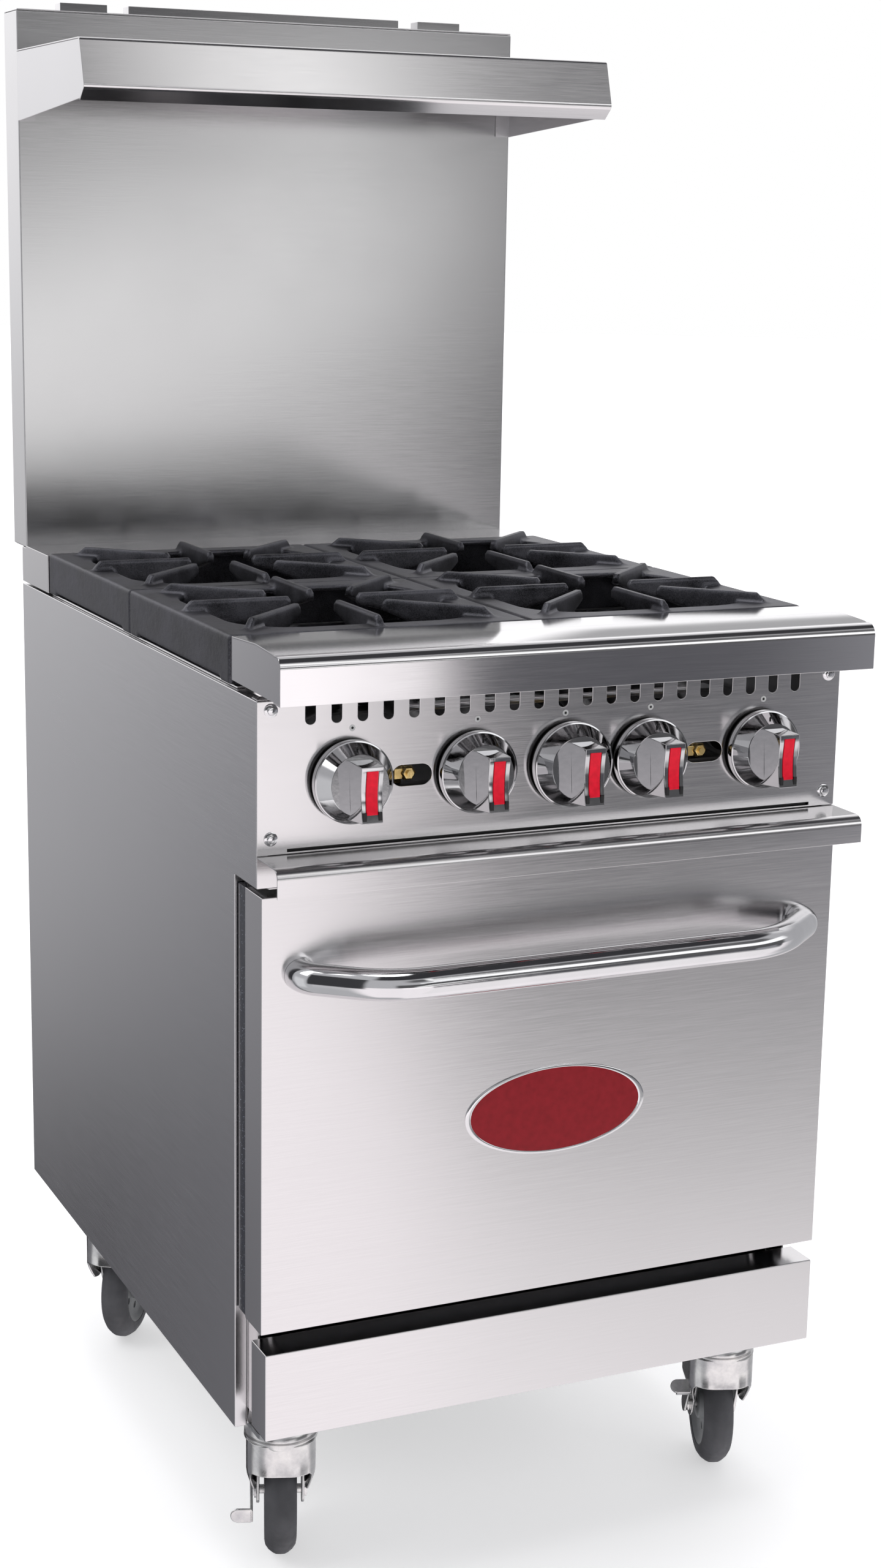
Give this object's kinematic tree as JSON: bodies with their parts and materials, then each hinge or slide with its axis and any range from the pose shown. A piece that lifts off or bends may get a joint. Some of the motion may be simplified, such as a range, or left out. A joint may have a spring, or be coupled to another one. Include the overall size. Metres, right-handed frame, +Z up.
{
  "type": "commercial gas range",
  "caption": "Free-standing commercial gas range with cast-iron grates, a drop-down oven door, a pull-out crumb tray, a flue riser, a high shelf and swivel casters.",
  "frame": {"origin": "on the floor under the centre of the bounding box", "axes": "+X to the right seen from the front, +Y to the back, +Z up; the oven door faces -Y"},
  "size_m": [0.61, 0.9179, 1.546],
  "materials": {
    "stainless_brushed": "brushed stainless sheet, satin, horizontal grain",
    "stainless_polished": "fine polished stainless sheet",
    "galvanised_sheet": "dull galvanised steel sheet",
    "enamel_oven": "dark speckled porcelain enamel on steel",
    "cast_iron": "black seasoned cast iron",
    "chrome": "bright chrome",
    "brass": "machined brass",
    "black_steel": "black iron pipe",
    "insulation": "mineral wool",
    "caster_zinc": "bright zinc plate",
    "caster_rubber": "dark grey rubber tread",
    "wire_chrome": "chromed wire"
  },
  "bodies": {
    "root": {"side_panel_left": "stainless_brushed", "side_panel_right": "stainless_brushed", "shelf_bracket_left": "stainless_brushed", "shelf_bracket_right": "stainless_brushed", "front_frame": "stainless_brushed", "back_panel": "galvanised_sheet", "base_frame": "galvanised_sheet", "kick_plate": "stainless_brushed", "control_panel": "stainless_brushed", "manifold_pipe": "black_steel", "oven_gas_pipe": "galvanised_sheet", "oven_thermostat": "brass", "pilot_valve_left": "brass", "pilot_valve_right": "brass", "burner_valve_1": "brass", "burner_valve_2": "brass", "burner_valve_3": "brass", "burner_valve_4": "brass", "cooktop_frame": "stainless_polished", "front_rail": "stainless_polished", "rear_strip": "stainless_brushed", "burner_front_left": "cast_iron", "burner_rear_left": "cast_iron", "burner_rear_right": "cast_iron", "burner_front_right": "cast_iron", "burner_support": "galvanised_sheet", "tray_support": "galvanised_sheet", "oven_cavity": "enamel_oven", "oven_deck": "enamel_oven", "oven_rack_lower": "wire_chrome", "oven_rack_upper": "wire_chrome", "oven_burner": "cast_iron", "flue_collector": "galvanised_sheet", "flue_riser": "stainless_brushed", "flue_cap": "stainless_polished", "high_shelf": "stainless_brushed"},
    "grate_front_left": {"grate_front_left": "cast_iron"},
    "grate_rear_left": {"grate_rear_left": "cast_iron"},
    "grate_rear_right": {"grate_rear_right": "cast_iron"},
    "grate_front_right": {"grate_front_right": "cast_iron"},
    "burner_knob_1": {"burner_knob_1": "chrome"},
    "burner_knob_2": {"burner_knob_2": "chrome"},
    "burner_knob_3": {"burner_knob_3": "chrome"},
    "burner_knob_4": {"burner_knob_4": "chrome"},
    "thermostat_knob": {"thermostat_knob": "chrome"},
    "crumb_tray": {"crumb_tray": "stainless_brushed"},
    "oven_door": {"door_outer_panel": "stainless_brushed", "door_inner_panel": "enamel_oven", "door_insulation": "insulation", "door_handle": "chrome"},
    "caster_fork_front_left": {"caster_fork_front_left": "caster_zinc"},
    "caster_wheel_front_left": {"caster_wheel_front_left": "caster_rubber"},
    "brake_lever_front_left": {"brake_lever_front_left": "caster_zinc"},
    "caster_fork_front_right": {"caster_fork_front_right": "caster_zinc"},
    "caster_wheel_front_right": {"caster_wheel_front_right": "caster_rubber"},
    "brake_lever_front_right": {"brake_lever_front_right": "caster_zinc"},
    "caster_fork_rear_left": {"caster_fork_rear_left": "caster_zinc"},
    "caster_wheel_rear_left": {"caster_wheel_rear_left": "caster_rubber"},
    "caster_fork_rear_right": {"caster_fork_rear_right": "caster_zinc"},
    "caster_wheel_rear_right": {"caster_wheel_rear_right": "caster_rubber"}
  },
  "joints": [
    {"name": "grate_front_left_lift", "type": "slide", "parent": "root", "child": "grate_front_left", "axis": [0, 0, 1], "range_m": [0, 0.1]},
    {"name": "grate_rear_left_lift", "type": "slide", "parent": "root", "child": "grate_rear_left", "axis": [0, 0, 1], "range_m": [0, 0.1]},
    {"name": "grate_rear_right_lift", "type": "slide", "parent": "root", "child": "grate_rear_right", "axis": [0, 0, 1], "range_m": [0, 0.1]},
    {"name": "grate_front_right_lift", "type": "slide", "parent": "root", "child": "grate_front_right", "axis": [0, 0, 1], "range_m": [0, 0.1]},
    {"name": "burner_knob_1_turn", "type": "hinge", "parent": "root", "child": "burner_knob_1", "pos_m": [-0.216, -0.372, 0.8165], "axis": [0, -1, 0], "range_deg": [0, 90]},
    {"name": "burner_knob_2_turn", "type": "hinge", "parent": "root", "child": "burner_knob_2", "pos_m": [-0.091, -0.372, 0.8165], "axis": [0, -1, 0], "range_deg": [0, 90]},
    {"name": "burner_knob_3_turn", "type": "hinge", "parent": "root", "child": "burner_knob_3", "pos_m": [0.091, -0.372, 0.8165], "axis": [0, -1, 0], "range_deg": [0, 90]},
    {"name": "burner_knob_4_turn", "type": "hinge", "parent": "root", "child": "burner_knob_4", "pos_m": [0.216, -0.372, 0.8165], "axis": [0, -1, 0], "range_deg": [0, 90]},
    {"name": "thermostat_knob_turn", "type": "hinge", "parent": "root", "child": "thermostat_knob", "pos_m": [0.007, -0.372, 0.8165], "axis": [0, -1, 0], "range_deg": [0, 270]},
    {"name": "crumb_tray_slide", "type": "slide", "parent": "root", "child": "crumb_tray", "axis": [0, -1, 0], "range_m": [0, 0.6]},
    {"name": "oven_door_hinge", "type": "hinge", "parent": "root", "child": "oven_door", "pos_m": [0, -0.3595, 0.3], "axis": [1, 0, 0], "range_deg": [0, 90]},
    {"name": "caster_front_left_swivel", "type": "hinge", "parent": "root", "child": "caster_fork_front_left", "pos_m": [-0.25, -0.292, 0.15], "axis": [0, 0, 1], "continuous": true},
    {"name": "caster_front_left_spin", "type": "hinge", "parent": "caster_fork_front_left", "child": "caster_wheel_front_left", "pos_m": [-0.23837, -0.26005, 0.0635], "axis": [0.9397, -0.342, 0], "continuous": true},
    {"name": "brake_lever_front_left_press", "type": "hinge", "parent": "caster_fork_front_left", "child": "brake_lever_front_left", "pos_m": [-0.23837, -0.26005, 0.0635], "axis": [0.9397, -0.342, 0], "range_deg": [-58, 0]},
    {"name": "caster_front_right_swivel", "type": "hinge", "parent": "root", "child": "caster_fork_front_right", "pos_m": [0.25, -0.292, 0.15], "axis": [0, 0, 1], "continuous": true},
    {"name": "caster_front_right_spin", "type": "hinge", "parent": "caster_fork_front_right", "child": "caster_wheel_front_right", "pos_m": [0.26163, -0.26005, 0.0635], "axis": [0.9397, -0.342, 0], "continuous": true},
    {"name": "brake_lever_front_right_press", "type": "hinge", "parent": "caster_fork_front_right", "child": "brake_lever_front_right", "pos_m": [0.26163, -0.26005, 0.0635], "axis": [0.9397, -0.342, 0], "range_deg": [0, 58]},
    {"name": "caster_rear_left_swivel", "type": "hinge", "parent": "root", "child": "caster_fork_rear_left", "pos_m": [-0.25, 0.252, 0.15], "axis": [0, 0, 1], "continuous": true},
    {"name": "caster_rear_left_spin", "type": "hinge", "parent": "caster_fork_rear_left", "child": "caster_wheel_rear_left", "pos_m": [-0.2305, 0.27985, 0.0635], "axis": [0.8192, -0.5736, 0], "continuous": true},
    {"name": "caster_rear_right_swivel", "type": "hinge", "parent": "root", "child": "caster_fork_rear_right", "pos_m": [0.25, 0.252, 0.15], "axis": [0, 0, 1], "continuous": true},
    {"name": "caster_rear_right_spin", "type": "hinge", "parent": "caster_fork_rear_right", "child": "caster_wheel_rear_right", "pos_m": [0.2559, 0.28548, 0.0635], "axis": [0.9848, -0.1736, 0], "continuous": true}
  ]
}
